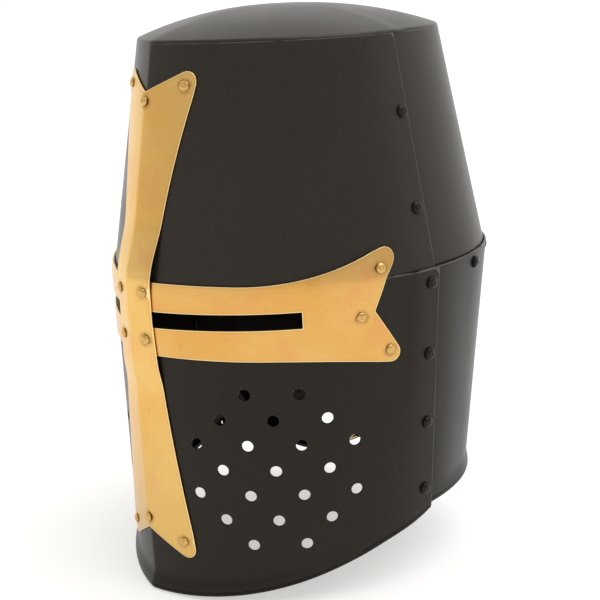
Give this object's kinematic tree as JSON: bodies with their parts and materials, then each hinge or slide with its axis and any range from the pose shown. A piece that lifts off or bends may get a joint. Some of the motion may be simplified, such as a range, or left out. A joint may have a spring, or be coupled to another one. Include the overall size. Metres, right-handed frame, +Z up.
{
  "type": "great helm",
  "caption": "Riveted steel great helm with a brass cross over the eye slots, breath holes, a leather liner and a chin strap.",
  "frame": {"origin": "below the middle of the helmet, level with the lowest point of the rim, which is at the front keel", "axes": "+Z up; the face points along -Y; +X is the wearer's left"},
  "size_m": [0.2206, 0.2313, 0.3223],
  "materials": {
    "black_steel": "satin black powder coat, fine texture",
    "steel_rivet": "satin black",
    "cross_brass": "brushed, slightly aged",
    "brass_rivet": "polished, slightly aged",
    "buckle_brass": "plain",
    "liner_leather": "natural, matte",
    "strap_leather": "black, waxed"
  },
  "bodies": {
    "helm": {"brass_rivet_keel_foot": "brass_rivet", "brass_rivet_keel_top": "brass_rivet", "brass_rivet_left_arm_lower_tail": "brass_rivet", "brass_rivet_left_arm_notch": "brass_rivet", "brass_rivet_left_arm_upper_tail": "brass_rivet", "brass_rivet_left_crossing_lower": "brass_rivet", "brass_rivet_left_crossing_upper": "brass_rivet", "brass_rivet_left_upright_foot": "brass_rivet", "brass_rivet_left_upright_top": "brass_rivet", "brass_rivet_right_arm_lower_tail": "brass_rivet", "brass_rivet_right_arm_notch": "brass_rivet", "brass_rivet_right_arm_upper_tail": "brass_rivet", "brass_rivet_right_crossing_lower": "brass_rivet", "brass_rivet_right_crossing_upper": "brass_rivet", "brass_rivet_right_upright_foot": "brass_rivet", "brass_rivet_right_upright_top": "brass_rivet", "cross_arm_left": "cross_brass", "cross_arm_right": "cross_brass", "cross_upright": "cross_brass", "crown_patch": "liner_leather", "liner": "liner_leather", "lower_back_plate": "black_steel", "lower_front_plate": "black_steel", "rivet_back_1": "steel_rivet", "rivet_back_2": "steel_rivet", "rivet_back_3": "steel_rivet", "rivet_back_4": "steel_rivet", "rivet_back_5": "steel_rivet", "rivet_back_6": "steel_rivet", "rivet_left_lower_1": "steel_rivet", "rivet_left_lower_2": "steel_rivet", "rivet_left_lower_3": "steel_rivet", "rivet_left_lower_4": "steel_rivet", "rivet_left_upper_1": "steel_rivet", "rivet_left_upper_2": "steel_rivet", "rivet_right_lower_1": "steel_rivet", "rivet_right_lower_2": "steel_rivet", "rivet_right_lower_3": "steel_rivet", "rivet_right_lower_4": "steel_rivet", "rivet_right_upper_1": "steel_rivet", "rivet_right_upper_2": "steel_rivet", "top_plate": "black_steel", "upper_back_plate": "black_steel", "upper_front_plate": "black_steel"},
    "chin_strap": {"chin_strap_left": "strap_leather", "chin_strap_right": "strap_leather", "buckle_frame": "buckle_brass", "buckle_prong": "buckle_brass", "strap_keeper": "strap_leather"}
  },
  "joints": [
    {"name": "chin_strap_swing", "type": "hinge", "parent": "helm", "child": "chin_strap", "pos_m": [0, 0.0078, 0.1753], "axis": [1, 0, 0], "range_deg": [-25, 25]}
  ]
}
